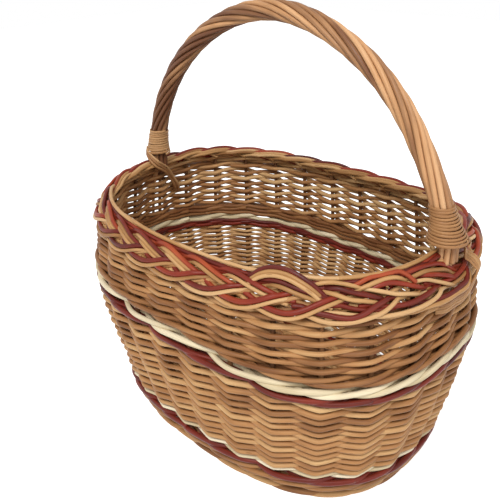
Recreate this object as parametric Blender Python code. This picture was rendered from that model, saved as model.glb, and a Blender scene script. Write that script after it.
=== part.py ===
"""Oval willow basket: woven wall on upright stakes, plaited border and a roped bow handle.

Metres, +Z up. X runs along the oval, Z = 0 is the surface that the basket stands on,
and the origin is the middle of its footprint.
"""
import math

import bmesh
import bpy
from mathutils import Vector

# The wall, measured to the middle of the stakes, at four heights
squareness = 2.55
foot_half_length = 0.157
foot_half_width = 0.1075
low_band_height = 0.025
low_band_half_length = 0.168
low_band_half_width = 0.1195
high_band_height = 0.142
high_band_half_length = 0.1887
high_band_half_width = 0.1407
rim_height = 0.235
rim_half_length = 0.178
rim_half_width = 0.1305

# How the hand-laid bands wander round the oval
low_band_rise_right = 0.0043
low_band_rise_back = -0.0077
high_band_rise_right = -0.0067
high_band_rise_back = -0.011
high_band_twist = 0.0043
high_band_ripple = 0.0036
high_band_dip = 0.01
high_band_dip_share = 0.655
high_band_dip_width_share = 0.08
rim_saddle = 0.0029

# Rods
stake_count = 28
first_stake_share = 0.8
stake_radius = 0.0025
siding_rod = 0.0048
siding_crossing_half_thickness = 0.0036
wale_crossing_half_thickness = 0.0052
clearance = 0.0003
red_low_height = 0.008
cream_low_height = 0.0045
red_high_height = 0.0075
cream_high_height = 0.011
stake_round = 0.0011

# The plaited border lies on a plane that slopes outwards
strand_count = 3
strand_radius = 0.0031
plait_overhang_long = 0.0032
plait_overhang_wide = 0.0021
plait_drop = 0.0115
plait_slope = math.radians(51)
plait_swing = 0.012
plait_lift = 0.0054
plait_start_share = 0.45
plait_points_per_swing = 8
plait_half_length = rim_half_length + plait_overhang_long
plait_half_width = rim_half_width + plait_overhang_wide
plait_height = rim_height - plait_drop
wall_top_rounds = 6

# The handle
handle_inset = 0.0085
handle_stand = 0.008
handle_rise = 0.162
handle_squareness = 1.857
core_radius = 0.0042
core_foot_radius = 0.003
core_neck_step = 0.0032
core_neck_drop = 0.0105
core_foot_stand = 0.0085
rod_count = 9
handle_rod_radius = 0.00215
rod_ring_gap = 0.0009
rod_turns_share = -2.6
rod_points = 26
handle_half_span = rim_half_length - handle_inset
handle_foot_height = rim_height + handle_stand
rod_ring_radius = core_radius + handle_rod_radius + rod_ring_gap
core_neck_half_span = handle_half_span - core_neck_step
core_neck_height = handle_foot_height - core_neck_drop

# The bindings of split willow at the handle's feet
skein_radius = 0.00105
binding_pitch = 0.00265
binding_rise = 0.0005
right_turns = 12.5
left_turns = 10
right_flare = 0.0052
left_flare = 0.0028
binding_points_per_turn = 10

# The lashings that tie the feet to the border
lashing_width = 0.014
lashing_thickness = 0.0022
outer_lashing_drop = 0.0125
inner_lashing_length = 0.0315
right_lashing_gap = 0.0012
left_lashing_gap = 0.0005
left_lashing_start_share = 0.486
left_lashing_end_share = 0.472
lashing_steps = 5
lashing_turn_start = math.radians(-35)
lashing_turn_end = math.radians(80)

# The base
base_thickness = 0.0115
cross_stick_count = 3
cross_stick_radius = 0.004
cross_stick_spacing = 0.07
long_stick_count = 2
long_stick_radius = 0.0026
long_stick_spacing = 0.0062
stick_height = 0.0057
stick_sides = 8
stick_end_gap = 0.0009

# Colours of the woods, with their roughness
palette = {
    "buff": ((0.56, 0.36, 0.18), 0.5),
    "red": ((0.30, 0.06, 0.035), 0.45),
    "cream": ((0.84, 0.72, 0.50), 0.55),
    "handle": ((0.62, 0.37, 0.19), 0.42),
    "split": ((0.66, 0.44, 0.24), 0.45),
    "stake": ((0.40, 0.23, 0.12), 0.55),
}

# Shares of the way round at the oval's two ends, where the handle stands
right_end_share = 0
left_end_share = 0.5

overrun = 0.004
weld_distance = 0.00003
sharp_edge_angle = math.radians(50)
outline_steps = 720
bevel_sides = 6


def clear_scene():
    for item in list(bpy.data.objects):
        bpy.data.objects.remove(item)


def make_collection(name):
    group = bpy.data.collections.new(name)
    bpy.context.scene.collection.children.link(group)
    return group


def material(name, wood):
    colour, roughness = palette[wood]
    made = bpy.data.materials.new(name)
    made.use_nodes = True
    shader = made.node_tree.nodes["Principled BSDF"]
    shader.inputs["Base Color"].default_value = (*colour, 1.0)
    shader.inputs["Roughness"].default_value = roughness
    shader.inputs["Metallic"].default_value = 0.0
    return made


def signed_power(value, power):
    return math.copysign(abs(value) ** power, value)


def oval(angle, half_length, half_width):
    """A point of the oval in plan."""
    power = 2 / squareness
    x = half_length * signed_power(math.cos(angle), power)
    y = half_width * signed_power(math.sin(angle), power)
    return Vector((x, y, 0))


def share_angles():
    """The angle at each step of equal length round the widest part of the wall."""
    steps = range(outline_steps + 1)
    angles = [2 * math.pi * step / outline_steps for step in steps]
    points = [oval(a, high_band_half_length, high_band_half_width) for a in angles]
    run = [0]
    for before, after in zip(points, points[1:]):
        run.append(run[-1] + (after - before).length)
    return angles, [length / run[-1] for length in run]


angle_table, share_table = share_angles()


def angle_at(share):
    """The oval's angle at a share of the way round, with 0 at the right end."""
    share = share % 1
    low = 0
    high = len(share_table) - 1
    while high - low > 1:
        middle = (low + high) // 2
        if share_table[middle] <= share:
            low = middle
        else:
            high = middle
    part = (share - share_table[low]) / (share_table[high] - share_table[low])
    return angle_table[low] + part * (angle_table[high] - angle_table[low])


def through_levels(height, sizes):
    """A smooth size at a height, through the sizes at the four heights of the wall."""
    heights = (0, low_band_height, high_band_height, rim_height)
    slopes = []
    for level in range(len(heights)):
        before = max(level - 1, 0)
        after = min(level + 1, len(heights) - 1)
        slopes.append((sizes[after] - sizes[before]) / (heights[after] - heights[before]))
    height = min(max(height, heights[0]), heights[-1])
    level = 0
    while height > heights[level + 1]:
        level += 1
    step = heights[level + 1] - heights[level]
    t = (height - heights[level]) / step
    start = (2 * t ** 3 - 3 * t ** 2 + 1) * sizes[level]
    leave = (t ** 3 - 2 * t ** 2 + t) * step * slopes[level]
    end = (3 * t ** 2 - 2 * t ** 3) * sizes[level + 1]
    arrive = (t ** 3 - t ** 2) * step * slopes[level + 1]
    return start + leave + end + arrive


def wall_sizes(height):
    lengths = (foot_half_length, low_band_half_length, high_band_half_length, rim_half_length)
    widths = (foot_half_width, low_band_half_width, high_band_half_width, rim_half_width)
    return through_levels(height, lengths), through_levels(height, widths)


def outward(angle, half_length, half_width):
    """The oval's horizontal normal."""
    nudge = 2 * math.pi / outline_steps
    ahead = oval(angle + nudge, half_length, half_width)
    behind = oval(angle - nudge, half_length, half_width)
    along = (ahead - behind).normalized()
    return Vector((along.y, -along.x, 0))


def wall_point(share, height, offset):
    """A point of the wall, offset outwards from the middle of the stakes."""
    angle = angle_at(share)
    half_length, half_width = wall_sizes(height)
    point = oval(angle, half_length, half_width)
    point += offset * outward(angle, half_length, half_width)
    point.z = height
    return point


def low_line(share):
    """The height of the seam between the lower red and cream wales."""
    angle = angle_at(share)
    tilt = low_band_rise_right * math.cos(angle) + low_band_rise_back * math.sin(angle)
    return low_band_height + tilt


def high_line(share):
    """The height of the seam between the upper red and cream wales."""
    angle = angle_at(share)
    tilt = high_band_rise_right * math.cos(angle) + high_band_rise_back * math.sin(angle)
    wander = high_band_twist * math.sin(2 * angle) + high_band_ripple * math.cos(3 * angle)
    away_share = (share % 1 - high_band_dip_share) / high_band_dip_width_share
    return high_band_height + tilt + wander - high_band_dip * math.exp(-away_share ** 2)


def saddle(share):
    return rim_saddle * math.cos(2 * angle_at(share))


def wall_top(share, offset):
    """Where a face of the wall, offset from the stakes, meets the border's underside."""
    angle = angle_at(share)
    away = outward(angle, plait_half_length, plait_half_width)
    plait_middle = oval(angle, plait_half_length, plait_half_width)
    under = (plait_lift + strand_radius + clearance) / math.cos(plait_slope)
    height = plait_height
    for _ in range(wall_top_rounds):
        reach = (wall_point(share, height, offset) - plait_middle).dot(away)
        height = plait_height + saddle(share) - reach * math.tan(plait_slope) - under
    return height


def link_mesh(name, grid, closed, wood, group):
    """A solid lofted through sections of like point counts, as a ring or with two caps."""
    shape = bmesh.new()
    rows = [[shape.verts.new(point) for point in section] for section in grid]
    pairs = list(zip(rows, rows[1:]))
    if closed:
        pairs.append((rows[-1], rows[0]))
    for before, after in pairs:
        for corner in range(len(before)):
            following = (corner + 1) % len(before)
            corners = (before[corner], before[following], after[following], after[corner])
            shape.faces.new(corners)
    if not closed:
        shape.faces.new(rows[0])
        shape.faces.new(reversed(rows[-1]))
    bmesh.ops.recalc_face_normals(shape, faces=shape.faces)
    mesh = bpy.data.meshes.new(name)
    shape.to_mesh(mesh)
    shape.free()
    made = bpy.data.objects.new(name, mesh)
    group.objects.link(made)
    made.data.materials.append(material(name, wood))
    return made


def smooth(item):
    item.data.shade_smooth()
    item.data.set_sharp_from_angle(angle=sharp_edge_angle)


def tube_curve(name, points, radius, group, radii=None):
    """A rod through points, as a curve object with a round bevel."""
    data = bpy.data.curves.new(name, "CURVE")
    data.dimensions = "3D"
    data.bevel_depth = radius
    data.bevel_resolution = bevel_sides // 2 - 2
    data.use_fill_caps = True
    spline = data.splines.new("POLY")
    spline.points.add(len(points) - 1)
    for index, point in enumerate(points):
        spline.points[index].co = (*point, 1)
        if radii:
            spline.points[index].radius = radii[index] / radius
    made = bpy.data.objects.new(name, data)
    group.objects.link(made)
    return made


def rod(name, points, radius, wood, group, radii=None):
    made = tube_curve(name, points, radius, group, radii)
    made.data.materials.append(material(name, wood))
    return made


def as_mesh(curve_object, group):
    """The curve object's solid as a mesh with welded caps."""
    seen = curve_object.evaluated_get(bpy.context.evaluated_depsgraph_get())
    mesh = bpy.data.meshes.new_from_object(seen)
    shape = bmesh.new()
    shape.from_mesh(mesh)
    bmesh.ops.remove_doubles(shape, verts=shape.verts, dist=weld_distance)
    bmesh.ops.recalc_face_normals(shape, faces=shape.faces)
    shape.to_mesh(mesh)
    shape.free()
    name = curve_object.name
    place = curve_object.matrix_world.copy()
    bpy.data.objects.remove(curve_object)
    made = bpy.data.objects.new(name, mesh)
    made.matrix_world = place
    group.objects.link(made)
    return made


def joined(items, name, group):
    """Several separate solids as one object."""
    shape = bmesh.new()
    for item in items:
        shape.from_mesh(item.data)
        bpy.data.objects.remove(item)
    mesh = bpy.data.meshes.new(name)
    shape.to_mesh(mesh)
    shape.free()
    made = bpy.data.objects.new(name, mesh)
    group.objects.link(made)
    return made


def cut(target, cutter):
    cutter.hide_render = True
    cutter.display_type = "WIRE"
    modifier = target.modifiers.new("cut_" + cutter.name, "BOOLEAN")
    modifier.operation = "DIFFERENCE"
    modifier.object = cutter
    modifier.solver = "EXACT"


def stake_share(index):
    return (index + first_stake_share) / stake_count


def station_share(station):
    """Stations lie half a space apart round the wall, and the odd ones over a stake."""
    return stake_share((station - 1) / 2)


def stake_points(index, extra=0):
    """The stake's points, its two ends drawn out by extra along the stake."""
    share = stake_share(index)
    heights = (stake_round, low_band_height, high_band_height, wall_top(share, stake_radius) - clearance)
    points = [wall_point(share, height, 0) for height in heights]
    points[0] -= (points[1] - points[0]).normalized() * extra
    points[-1] += (points[-1] - points[-2]).normalized() * extra
    return points


def make_stakes(group):
    for index in range(stake_count):
        name = "stake_%02d" % (index + 1)
        rod(name, stake_points(index), stake_radius, "stake", group)


def stake_tunnels(cutters):
    """The stakes' cutter: each stake, wider by the clearance and longer than the wall."""
    tubes = []
    for index in range(stake_count):
        points = stake_points(index, overrun)
        tube = tube_curve("tunnel", points, stake_radius + clearance, cutters)
        tubes.append(as_mesh(tube, cutters))
    return joined(tubes, "stake_tunnels", cutters)


def wall_half_thickness(station, crossing):
    """The wall bulges over each stake and draws in to the crossing's own size between them."""
    over_stake = station % 2 == 1
    return stake_radius + siding_rod if over_stake else crossing


def siding_section(station, half, bottom, top_outer, top_inner, levels):
    """The wall's section between two heights, outer face up and inner face down."""
    share = station_share(station)
    section = []
    for level in range(levels):
        height = bottom + (top_outer - bottom) * level / (levels - 1)
        section.append(wall_point(share, height, half))
    for level in reversed(range(levels)):
        height = bottom + (top_inner - bottom) * level / (levels - 1)
        section.append(wall_point(share, height, -half))
    return section


def make_foot_ring(group, tunnels):
    """The two thick rows at the bottom edge, flat underneath."""
    grid = []
    for station in range(2 * stake_count):
        half = wall_half_thickness(station, wale_crossing_half_thickness)
        top = low_line(station_share(station)) - red_low_height - clearance
        grid.append(siding_section(station, half, 0, top, top, 2))
    ring = link_mesh("upsett_wale", grid, True, "buff", group)
    cut(ring, tunnels)


def make_lower_siding(group, tunnels):
    grid = []
    for station in range(2 * stake_count):
        share = station_share(station)
        half = wall_half_thickness(station, siding_crossing_half_thickness)
        bottom = low_line(share) + cream_low_height
        top = high_line(share) - red_high_height - clearance
        grid.append(siding_section(station, half, bottom, top, top, 3))
    ring = link_mesh("lower_siding", grid, True, "buff", group)
    cut(ring, tunnels)


def make_upper_siding(group, tunnels, sockets):
    """The upper wall, whose top slopes down outwards under the border."""
    grid = []
    for station in range(2 * stake_count):
        share = station_share(station)
        half = wall_half_thickness(station, siding_crossing_half_thickness)
        bottom = high_line(share) + cream_high_height
        top_outer = wall_top(share, half)
        top_inner = wall_top(share, -half)
        grid.append(siding_section(station, half, bottom, top_outer, top_inner, 3))
    ring = link_mesh("upper_siding", grid, True, "buff", group)
    cut(ring, tunnels)
    cut(ring, sockets)


def make_wale(name, line, below, above, wood, group):
    """A coloured wale: outside each stake, and drawn in between the stakes."""
    grid = []
    for station in range(2 * stake_count):
        share = station_share(station)
        over_stake = station % 2 == 1
        outer = wall_half_thickness(station, wale_crossing_half_thickness)
        inner = stake_radius + stake_round if over_stake else -wale_crossing_half_thickness
        bottom = line(share) - below
        top = line(share) + above - clearance
        corners = ((outer, bottom), (outer, top), (inner, top), (inner, bottom))
        grid.append([wall_point(share, height, offset) for offset, height in corners])
    return link_mesh(name, grid, True, wood, group)


def make_wales(group):
    make_wale("lower_red_wale", low_line, red_low_height, 0, "red", group)
    make_wale("lower_cream_wale", low_line, 0, cream_low_height, "cream", group)
    make_wale("upper_red_wale", high_line, red_high_height, 0, "red", group)
    make_wale("upper_cream_wale", high_line, 0, cream_high_height, "cream", group)


def plait_directions(angle):
    """The direction across the plait, outwards and down, and the one up from its face."""
    away = outward(angle, plait_half_length, plait_half_width)
    across = away * math.cos(plait_slope) - Vector((0, 0, math.sin(plait_slope)))
    above = away * math.sin(plait_slope) + Vector((0, 0, math.cos(plait_slope)))
    return across, above


def plait_point(strand, share):
    """The middle of a strand of the border, which goes over from each edge, then under."""
    angle = angle_at(share)
    across, above = plait_directions(angle)
    phase = 2 * math.pi * (share * stake_count + plait_start_share + strand) / strand_count
    point = oval(angle, plait_half_length, plait_half_width)
    point.z = plait_height + saddle(share)
    point += across * plait_swing * math.sin(phase)
    point -= above * plait_lift * math.sin(2 * phase)
    return point


def make_border(group):
    steps = round(plait_points_per_swing * stake_count / strand_count)
    end_share = clearance / plait_half_length
    for strand in range(strand_count):
        shares = [end_share + (1 - 2 * end_share) * step / steps for step in range(steps + 1)]
        points = [plait_point(strand, share) for share in shares]
        name = "border_strand_%d" % (strand + 1)
        rod(name, points, strand_radius, "red" if strand == 1 else "buff", group)


def handle_point(turn_share):
    """The handle's middle line, from the left foot at 0 to the right foot at 1."""
    angle = math.pi * (1 - turn_share)
    power = 2 / handle_squareness
    x = handle_half_span * signed_power(math.cos(angle), power)
    z = handle_foot_height + handle_rise * abs(math.sin(angle)) ** power
    return Vector((x, 0, z))


def handle_frame(turn_share):
    """Two directions square to the handle: one in its plane and one across it."""
    nudge = 1 / outline_steps
    low = max(turn_share - nudge, 0)
    high = min(turn_share + nudge, 1)
    along = (handle_point(high) - handle_point(low)).normalized()
    side = Vector((0, 1, 0))
    return along.cross(side), side


def even_shares(count):
    """Shares of the handle that lie at equal lengths along it."""
    fine = [step / outline_steps for step in range(outline_steps + 1)]
    points = [handle_point(share) for share in fine]
    run = [0]
    for before, after in zip(points, points[1:]):
        run.append(run[-1] + (after - before).length)
    shares = []
    index = 0
    for step in range(count):
        wanted = run[-1] * step / (count - 1)
        while index < outline_steps - 1 and run[index + 1] < wanted:
            index += 1
        part = (wanted - run[index]) / (run[index + 1] - run[index])
        shares.append((index + part) / outline_steps)
    return shares


def foot_points(side, extra=0):
    """The core's foot, from just under the handle's foot down to just above the cream wale."""
    share = right_end_share if side > 0 else left_end_share
    end_height = high_line(share) + cream_high_height + core_foot_stand
    end = wall_point(share, end_height - extra, 0)
    middle_height = (end_height + core_neck_height) / 2
    middle = wall_point(share, middle_height, -stake_radius)
    neck = Vector((side * core_neck_half_span, 0, core_neck_height))
    return [neck, middle, end]


def make_core(group):
    """The bow under the rods, whose tapered ends run down inside the border into the wall."""
    arch = [handle_point(share) for share in even_shares(rod_points)]
    left = list(reversed(foot_points(-1)))
    right = foot_points(1)
    points = left + arch + right
    foot_radii = [core_foot_radius] * len(left)
    radii = foot_radii + [core_radius] * len(arch) + foot_radii
    rod("handle_core", points, core_radius, "handle", group, radii)


def core_sockets(cutters):
    """The cutter for the sockets that the core's feet sit in."""
    feet = []
    radius = core_foot_radius / math.cos(math.pi / bevel_sides) + clearance
    for side in (-1, 1):
        foot = tube_curve("foot", foot_points(side, overrun), radius, cutters)
        feet.append(as_mesh(foot, cutters))
    return joined(feet, "core_sockets", cutters)


def make_handle_rods(group):
    shares = even_shares(rod_points)
    for index in range(rod_count):
        points = []
        for step, share in enumerate(shares):
            outwards, side = handle_frame(share)
            wound_share = rod_turns_share * step / (rod_points - 1)
            turn = 2 * math.pi * (index / rod_count + wound_share)
            offset = outwards * math.cos(turn) + side * math.sin(turn)
            points.append(handle_point(share) + offset * rod_ring_radius)
        rod("handle_rod_%d" % (index + 1), points, handle_rod_radius, "handle", group)


def foot_centre(side, height):
    """The handle's middle at a height above its foot, on one side."""
    power = 2 / handle_squareness
    rise_share = min(max((height - handle_foot_height) / handle_rise, 0), 1)
    sine = rise_share ** (1 / power)
    x = side * handle_half_span * math.sqrt(1 - sine ** 2) ** power
    return Vector((x, 0, height))


def binding_path(side, turns, flare):
    """A winding up the foot, wider at the bottom, where it meets the border."""
    count = round(turns * binding_points_per_turn)
    inner = rod_ring_radius + handle_rod_radius + clearance + skein_radius
    points = []
    for step in range(count + 1):
        share = step / count
        turn = 2 * math.pi * turns * share
        height = handle_foot_height + binding_rise + skein_radius + binding_pitch * turns * share
        radius = inner / math.cos(math.pi / binding_points_per_turn) + flare * (1 - share) ** 2
        centre = foot_centre(side, height)
        points.append(centre + Vector((math.cos(turn), math.sin(turn), 0)) * radius)
    return points


def least_gap(points, per_turn, width):
    """The least gap between turns of a winding."""
    least = math.inf
    for index, point in enumerate(points):
        for other in points[index + per_turn // 2:]:
            least = min(least, (other - point).length)
    return least - width


def make_bindings(group):
    for label, side, turns, flare in (
        ("right", 1, right_turns, right_flare),
        ("left", -1, left_turns, left_flare),
    ):
        points = binding_path(side, turns, flare)
        rod("handle_binding_" + label, points, skein_radius, "split", group)
        gap = least_gap(points, binding_points_per_turn, 2 * skein_radius)
        print("least gap in the", label, "binding", round(gap, 5))


def strip(name, middle_points, outwards, group):
    """A flat bundle of skeins along points, lying in the Y direction."""
    grid = []
    half = lashing_width / 2
    for point, away in zip(middle_points, outwards):
        thick = away * lashing_thickness
        side = Vector((0, half, 0))
        grid.append([point - side, point + side, point + side + thick, point - side + thick])
    return link_mesh(name, grid, False, "split", group)


def make_lashings(group):
    """The right one runs down over the border's outside, the left one down inside the wall."""
    across, above = plait_directions(angle_at(right_end_share))
    centre = Vector((plait_half_length, 0, plait_height + saddle(right_end_share)))
    reach_across = plait_swing + strand_radius + right_lashing_gap
    reach_above = plait_lift + strand_radius + right_lashing_gap
    points = []
    outwards = []
    for step in range(lashing_steps):
        part = step / (lashing_steps - 1)
        turn = lashing_turn_start + (lashing_turn_end - lashing_turn_start) * part
        away = across * math.sin(turn) + above * math.cos(turn)
        side_step = across * reach_across * math.sin(turn)
        points.append(centre + side_step + above * reach_above * math.cos(turn))
        outwards.append(away)
    wall_offset = stake_radius + siding_rod + clearance
    edge_height = wall_top(right_end_share, stake_radius + siding_rod)
    for height in (edge_height, edge_height - outer_lashing_drop):
        points.append(wall_point(right_end_share, height, wall_offset))
        outwards.append(Vector((1, 0, 0)))
    strip("lashing_right", points, outwards, group)
    points = []
    outwards = []
    inner_offset = -stake_radius - siding_rod - left_lashing_gap
    top = wall_top(left_end_share, inner_offset)
    left_ends = ((left_lashing_start_share, top), (left_lashing_end_share, top - inner_lashing_length))
    for share, height in left_ends:
        points.append(wall_point(share, height, inner_offset))
        outwards.append(Vector((1, 0, 0)))
    strip("lashing_left", points, outwards, group)


def stick(name, start, end, radius, group):
    """A straight stick of the base, made from a cylinder."""
    run = end - start
    bpy.ops.mesh.primitive_cylinder_add(
        vertices=stick_sides, radius=radius, depth=run.length, location=(start + end) / 2,
        rotation=run.to_track_quat("Z", "Y").to_euler())
    made = bpy.context.object
    made.name = name
    for owner in list(made.users_collection):
        owner.objects.unlink(made)
    group.objects.link(made)
    return made


def base_half_width_at(x, inset):
    """Half of the base's width at a place along it."""
    half_length, half_width = wall_sizes(0)
    inner_length = half_length - inset
    inner_width = half_width - inset
    return inner_width * (1 - (abs(x) / inner_length) ** squareness) ** (1 / squareness)


def stick_lines(kind, grow):
    """The ends of each base stick, lengthened by grow past the edge of the base."""
    inset = stake_radius + siding_rod + stick_end_gap
    lines = []
    if kind == "cross":
        for index in range(cross_stick_count):
            x = cross_stick_spacing * (index - (cross_stick_count - 1) / 2)
            reach = base_half_width_at(abs(x) + cross_stick_radius, inset) + grow
            lines.append((Vector((x, -reach, stick_height)), Vector((x, reach, stick_height))))
    else:
        reach = wall_sizes(0)[0] - inset + grow
        for index in range(long_stick_count):
            y = long_stick_spacing * (index - (long_stick_count - 1) / 2)
            lines.append((Vector((-reach, y, stick_height)), Vector((reach, y, stick_height))))
    return lines


def stick_cutter(kind, radius, cutters):
    sticks = []
    for start, end in stick_lines(kind, overrun):
        sticks.append(stick("cutter", start, end, radius + clearance, cutters))
    for item in sticks:
        item.data.transform(item.matrix_world)
    return joined(sticks, kind + "_stick_holes", cutters)


def make_base(group, cutters):
    """The woven base with the sticks that it is built on."""
    long_holes = stick_cutter("long", long_stick_radius, cutters)
    cross_holes = stick_cutter("cross", cross_stick_radius, cutters)
    inset = stake_radius + siding_rod + clearance
    grid = []
    for height in (0, base_thickness):
        section = []
        for station in range(2 * stake_count):
            point = wall_point(station_share(station), 0, -inset)
            point.z = height
            section.append(point)
        grid.append(section)
    base = link_mesh("base_weave", grid, False, "buff", group)
    cut(base, long_holes)
    cut(base, cross_holes)
    for kind, radius in (("cross", cross_stick_radius), ("long", long_stick_radius)):
        for index, (start, end) in enumerate(stick_lines(kind, -clearance)):
            name = "base_%s_stick_%d" % (kind, index + 1)
            made = stick(name, start, end, radius, group)
            made.data.materials.append(material(name, "stake"))
            if kind == "cross":
                cut(made, long_holes)


def make_basket():
    clear_scene()
    group = make_collection("foraging_basket")
    cutters = make_collection("cutters")
    tunnels = stake_tunnels(cutters)
    sockets = core_sockets(cutters)
    make_base(group, cutters)
    make_stakes(group)
    make_foot_ring(group, tunnels)
    make_lower_siding(group, tunnels)
    make_upper_siding(group, tunnels, sockets)
    make_wales(group)
    make_border(group)
    make_core(group)
    make_handle_rods(group)
    make_bindings(group)
    make_lashings(group)
    for item in group.objects:
        if item.type == "MESH":
            smooth(item)


make_basket()
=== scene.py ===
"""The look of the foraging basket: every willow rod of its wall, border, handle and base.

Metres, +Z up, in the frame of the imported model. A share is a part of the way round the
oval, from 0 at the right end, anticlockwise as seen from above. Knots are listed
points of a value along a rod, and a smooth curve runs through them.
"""
import math

import bpy
import numpy as np
from mathutils import Matrix, Vector

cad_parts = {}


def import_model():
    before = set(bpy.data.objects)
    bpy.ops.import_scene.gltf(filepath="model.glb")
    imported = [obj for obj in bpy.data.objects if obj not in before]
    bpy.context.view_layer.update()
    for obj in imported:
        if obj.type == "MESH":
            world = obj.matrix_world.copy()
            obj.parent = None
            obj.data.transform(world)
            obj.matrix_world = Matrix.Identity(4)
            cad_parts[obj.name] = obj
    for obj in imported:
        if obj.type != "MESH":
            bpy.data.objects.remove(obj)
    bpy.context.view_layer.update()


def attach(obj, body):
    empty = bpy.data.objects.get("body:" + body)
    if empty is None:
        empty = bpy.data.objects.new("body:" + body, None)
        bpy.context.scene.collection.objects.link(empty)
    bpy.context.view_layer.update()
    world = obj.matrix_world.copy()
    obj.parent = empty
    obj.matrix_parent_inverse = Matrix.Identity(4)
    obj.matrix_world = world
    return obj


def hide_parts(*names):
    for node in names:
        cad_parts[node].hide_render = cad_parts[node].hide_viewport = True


# Camera, fitted to the photograph
photo_size = 500
focal_pixels = 650.5
camera_azimuth = math.radians(43.34)
camera_elevation = math.radians(26.54)
camera_roll = math.radians(-1.11)
camera_distance = 0.6499
camera_sidestep = -0.0249
camera_height = 0.1788
camera_nearest = 0.01
sensor_width = 36

# Lights, each with its place, size and power, and surroundings
white = (1, 1, 1, 1)
light_target = (0, 0, 0.15)
key_light = ((0.45, -1.15, 1.65), 0.8, 26)
fill_light = ((1.5, -0.3, 1.1), 1.4, 7)
world_light = 0.52
world_seen_extra = 0.48
floor_half_size = 3.0
floor_colour = (0.9, 0.9, 0.9, 1)
floor_roughness = 0.9
floor_seen_glow = 0.72

# The willow: how its streaks, patches and leaf scars are drawn out along and across a rod, and
# how finely the first two are broken up
middle_tone = 0.5
tone_share = 0.5
patch_share = 0.6
willow_gloss = 0.22
streak_noise = ((40, 1500, 1500), 3)
patch_noise = ((22, 60, 60), 2)
scar_stretch = (28, 160, 160)
scar_reach = 0.09
scar_tint = (0.35, 0.22, 0.14, 1)
roughness_spread = 0.3
bump_strength = 0.35
bump_depth = 0.0006
grain_spread = 50

# Rods in general. Where a drift or swell has two values, they are its size and its bends.
rod_sides = 12
weave_rod_sides = 10
base_rod_sides = 8
end_cap_share = 0.5
knot_end_gap = 1e-6
rod_swell = (0.1, 6)
upwards = np.array([0.0, 0.0, 1.0])
across_handle = np.array([0.0, 1.0, 0.0])

# The wall, measured to the middle of the stakes, at four heights
squareness = 2.55
level_heights = (0, 0.025, 0.142, 0.235)
level_half_lengths = (0.157, 0.168, 0.1887, 0.178)
level_half_widths = (0.1075, 0.1195, 0.1407, 0.1305)
outline_steps = 2880
left_tuck = 0.004
left_tuck_angle = math.radians(222)
left_tuck_height = 0.065
left_tuck_reach = 0.05

# The colour bands
low_band_height = 0.025
low_band_rise_right = 0.0043
low_band_rise_back = -0.0077
high_band_height = 0.142
high_band_rise_right = -0.0067
high_band_rise_back = -0.011
high_band_twist = 0.0043
high_band_ripple = 0.0036
high_band_dip = 0.01
high_band_dip_share = 0.655
high_band_dip_width_share = 0.08
rim_saddle = 0.0029
red_low_height = 0.008
cream_low_height = 0.0045
cream_low_below = 0.0006
cream_low_above = 0.0012
red_high_height = 0.0075
cream_high_height = 0.011
cream_high_drop = 0.0006
buff_high_height = 0.0088
siding_top_height = 0.2218
siding_top_lean = 0.0042

# Stakes
stake_count = 28
first_stake_share = 0.8
stake_radius = 0.0025
stake_foot_height = 0.0012
stake_top_gap = 0.004
stake_taper_shares = (0.95, 0.78)
stake_points = 24

# How much darker some rods are; for the upper siding this darkening is painted shade under the
# border's overhang
red_band_shade = 0.35
upper_siding_painted_shade = 0.22
border_red_shade = 0.2

# Pairing: two rods that cross between the stakes. A pair is the radius of its rods, and the
# slant and the sag of their way between the stakes.
points_per_space = 16
weave_sharpness = 0.993
pair_uneven_share = 0.08
pair_drift = 0.0004
pair_reach_share = 0.97
pair_thinning_share = 0.06
leaning_courses = 2
cream_low_pair = (0.0019, 1.3, 0)
back_weave_stakes = (3, 14)
lower_courses = 12
lower_pair = (0.0025, 0.5, 0.0013)
lower_back_courses = 20
lower_back_pair = (0.0018, 0.85, 0.0013)
upper_courses = 8
upper_pair = (0.0022, 0.85, 0.0006)
upper_drift = 0.0009
upper_reach_share = 0.88
upper_outer_rise = 0.0016
upper_uneven_share = 0.16
# Painted light: the upper siding's rods are lighter along the back, where the inside of the back wall
# is lit.
upper_back_painted_light = 0.45

# Waling: three rods, whose way in and out is a mean, a swing and a dwell, in shares of their
# distance from the middle of the stakes. A wale is the radius of its rods, how far each stroke
# rises and sinks, and the heights of further rods that run round behind the stakes.
wale_rods = 3
wale_mean_share = 0.333
wale_swing_share = 1.075
wale_dwell_share = 0.258
wale_uneven_share = 0.06
wale_drift = 0.0003
backing_radius_share = 0.9
backing_depth_share = 0.7
backing_sway = 0.0005
backing_drift = 0.0004
upsett_wale = (0.0027, 0.0008)
upsett_height_share = 1.4
upsett_height = upsett_wale[0] * upsett_height_share
upsett_bulge_share = 0.95
upsett_top_wale = (0.0023, 0.003)
upsett_top_share = 0.79
red_low_wale = (0.0026, 0.0018)
red_high_wale = (0.0024, 0.0015, (-0.0022, 0.0022))
cream_high_wale = (0.0025, 0.0025, (-0.0028,))
buff_high_wale = (0.0024, 0.0024, (-0.0066, -0.0022, 0.0022))

# The border: a plait of three strands of parallel rods. Knots give a strand's way as places
# along it, in spaces between stakes from where it dives under the next ones, and places
# across it, in shares of its half width, outwards and down its slope. Lift knots give how
# far it stands above the plait's face.
plait_half_length = 0.1812
plait_half_width = 0.1326
plait_height = 0.2235
plait_slope = math.radians(51)
plait_reach = 0.012
plait_lift = 0.0019
swell_place = 2.3
swell_length = 1.3
swell_rise = 0.0055
dive_share = 0.95
drawn_out_spaces = {24: 0.05, 25: 0.15, 26: 0.3, 27: 0.2}
leg_points = 60
strand_drift = (0.0003, 3)
rod_place_gap = 0.0033
buff_rod_radius = 0.00168
red_rod_radius = 0.00192
edge_red_radius = 0.0023
border_uneven_share = 0.1

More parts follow.
